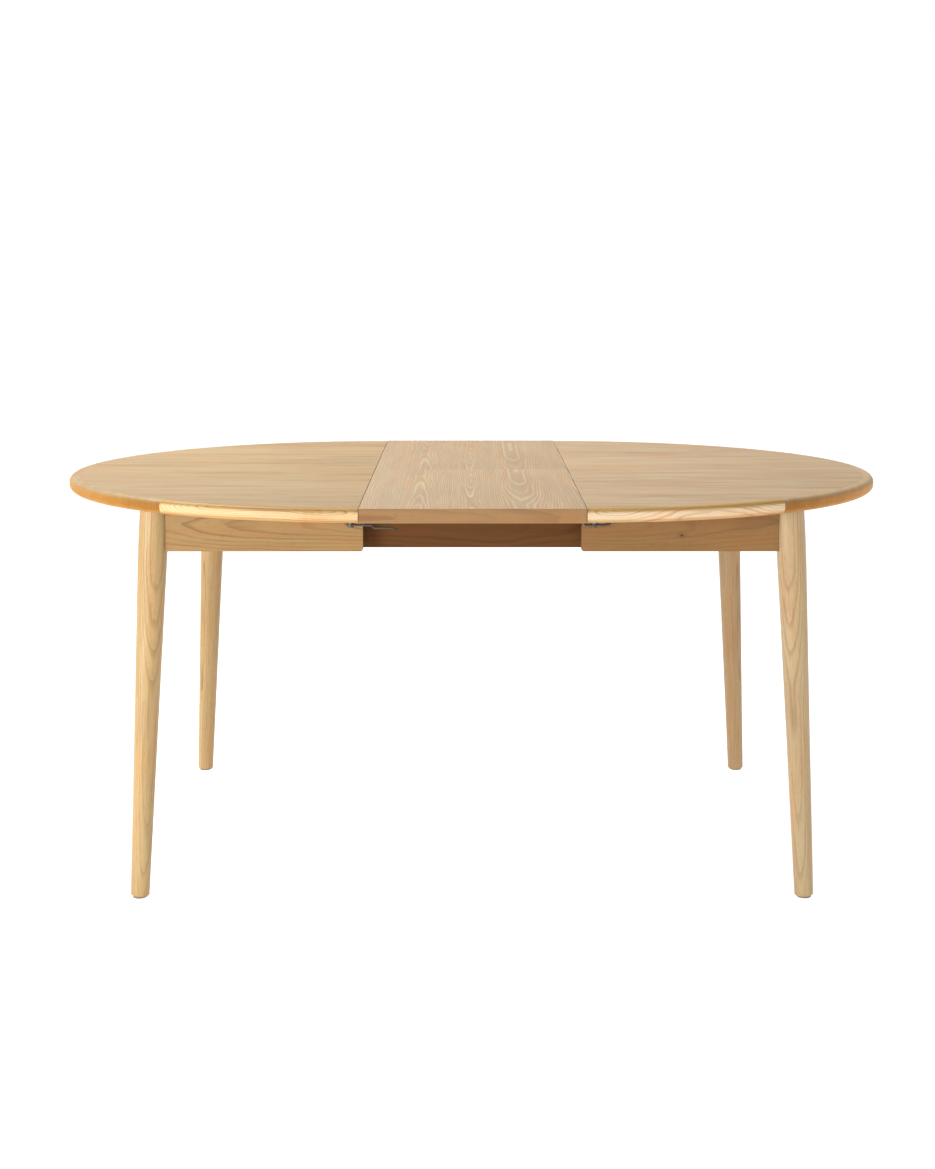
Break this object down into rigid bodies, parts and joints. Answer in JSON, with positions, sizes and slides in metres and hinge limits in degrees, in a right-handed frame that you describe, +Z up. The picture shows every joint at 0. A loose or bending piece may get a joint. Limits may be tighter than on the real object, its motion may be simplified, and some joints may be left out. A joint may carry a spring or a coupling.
{
  "type": "extending dining table",
  "caption": "Wooden dining table with half-round ends that draw apart on slides and a centre leaf that folds in half and stows below the top, on round tapered splayed legs.",
  "frame": {"origin": "on the floor under the middle of the extended table", "axes": "+X along the extension direction, +Y towards the back, +Z up"},
  "size_m": [1.6, 1.21, 0.75],
  "materials": {
    "oak_veneer": "satin lacquered oak veneer",
    "oak_edge": "satin lacquered solid oak",
    "oak_edge_warm": "satin lacquered solid oak, warmer tone",
    "oak_solid": "satin lacquered solid oak",
    "beech": "sealed beech",
    "zinc_steel": "zinc plated steel",
    "felt": "needled felt"
  },
  "bodies": {
    "center_frame": {"front_rail": "beech", "back_rail": "beech", "right_cross_rail": "beech", "left_cross_rail": "beech", "leaf_bearers": "beech", "slide_channels": "zinc_steel", "shaft_supports": "beech"},
    "right_half": {"right_top_panel": "oak_veneer", "right_end_band": "oak_edge_warm", "right_front_band": "oak_edge", "right_back_band": "oak_edge", "right_front_apron": "oak_solid", "right_back_apron": "oak_solid", "right_end_apron": "oak_solid", "right_front_leg": "oak_solid", "right_back_leg": "oak_solid", "right_corner_blocks": "beech", "right_leg_bolts": "zinc_steel", "right_glides": "felt", "right_slide_runners": "zinc_steel", "right_top_cleats": "beech", "right_latch_plates": "zinc_steel"},
    "right_cages": {"right_ball_cages": "zinc_steel"},
    "left_half": {"left_top_panel": "oak_veneer", "left_end_band": "oak_edge_warm", "left_front_band": "oak_edge", "left_back_band": "oak_edge", "left_front_apron": "oak_solid", "left_back_apron": "oak_solid", "left_end_apron": "oak_solid", "left_front_leg": "oak_solid", "left_back_leg": "oak_solid", "left_corner_blocks": "beech", "left_leg_bolts": "zinc_steel", "left_glides": "felt", "left_slide_runners": "zinc_steel", "left_top_cleats": "beech", "left_latch_plates": "zinc_steel"},
    "left_cages": {"left_ball_cages": "zinc_steel"},
    "front_arms": {"front_arm_shaft": "zinc_steel", "front_swing_arms": "zinc_steel"},
    "rear_arms": {"rear_arm_shaft": "zinc_steel", "rear_swing_arms": "zinc_steel"},
    "leaf_front": {"leaf_front_panel": "oak_veneer", "leaf_front_lipping": "oak_edge_warm", "leaf_pivot_brackets": "zinc_steel"},
    "leaf_back": {"leaf_back_panel": "oak_veneer", "leaf_back_lipping": "oak_edge_warm"},
    "hinge_links": {"leaf_hinge_links": "zinc_steel"},
    "latch_front_left": {"lever_front_left": "zinc_steel"},
    "latch_front_right": {"lever_front_right": "zinc_steel"},
    "latch_back_left": {"lever_back_left": "zinc_steel"},
    "latch_back_right": {"lever_back_right": "zinc_steel"}
  },
  "joints": [
    {"name": "right_half_slide", "type": "slide", "parent": "center_frame", "child": "right_half", "axis": [1, 0, 0], "range_m": [0, 0.02]},
    {"name": "right_cage_slide", "type": "slide", "parent": "center_frame", "child": "right_cages", "axis": [1, 0, 0], "range_m": [0, 0.01]},
    {"name": "left_half_slide", "type": "slide", "parent": "center_frame", "child": "left_half", "axis": [-1, 0, 0], "range_m": [0, 0.02]},
    {"name": "left_cage_slide", "type": "slide", "parent": "center_frame", "child": "left_cages", "axis": [-1, 0, 0], "range_m": [0, 0.01]},
    {"name": "front_arm_swing", "type": "hinge", "parent": "center_frame", "child": "front_arms", "pos_m": [0, -0.198, 0.63935], "axis": [-1, 0, 0], "range_deg": [0, 150]},
    {"name": "rear_arm_swing", "type": "hinge", "parent": "center_frame", "child": "rear_arms", "pos_m": [0, -0.013, 0.63935], "axis": [-1, 0, 0], "range_deg": [0, 150]},
    {"name": "leaf_carry", "type": "hinge", "parent": "front_arms", "child": "leaf_front", "pos_m": [0, -0.3412, 0.71], "axis": [-1, 0, 0], "range_deg": [-150, 0]},
    {"name": "leaf_fold", "type": "hinge", "parent": "leaf_front", "child": "leaf_back", "pos_m": [0, 0, 0.75015], "axis": [1, 0, 0], "range_deg": [0, 180]},
    {"name": "hinge_link_turn", "type": "hinge", "parent": "leaf_front", "child": "hinge_links", "pos_m": [0, 0, 0.75015], "axis": [1, 0, 0], "range_deg": [0, 90]},
    {"name": "latch_front_left_turn", "type": "hinge", "parent": "left_half", "child": "latch_front_left", "pos_m": [-0.209, -0.572, 0.7178], "axis": [0, 0, 1], "range_deg": [0, 90]},
    {"name": "latch_front_right_turn", "type": "hinge", "parent": "right_half", "child": "latch_front_right", "pos_m": [0.209, -0.572, 0.7178], "axis": [0, 0, 1], "range_deg": [0, 90]},
    {"name": "latch_back_left_turn", "type": "hinge", "parent": "left_half", "child": "latch_back_left", "pos_m": [-0.209, 0.572, 0.7178], "axis": [0, 0, 1], "range_deg": [0, 90]},
    {"name": "latch_back_right_turn", "type": "hinge", "parent": "right_half", "child": "latch_back_right", "pos_m": [0.209, 0.572, 0.7178], "axis": [0, 0, 1], "range_deg": [0, 90]}
  ],
  "couplings": [
    {"joint": "right_cage_slide", "follows": "right_half_slide", "ratio": 0.5},
    {"joint": "left_cage_slide", "follows": "left_half_slide", "ratio": 0.5},
    {"joint": "rear_arm_swing", "follows": "front_arm_swing", "ratio": 1},
    {"joint": "leaf_carry", "follows": "front_arm_swing", "ratio": -1},
    {"joint": "leaf_fold", "follows": "front_arm_swing", "ratio": 1.2},
    {"joint": "hinge_link_turn", "follows": "front_arm_swing", "ratio": 0.6}
  ]
}
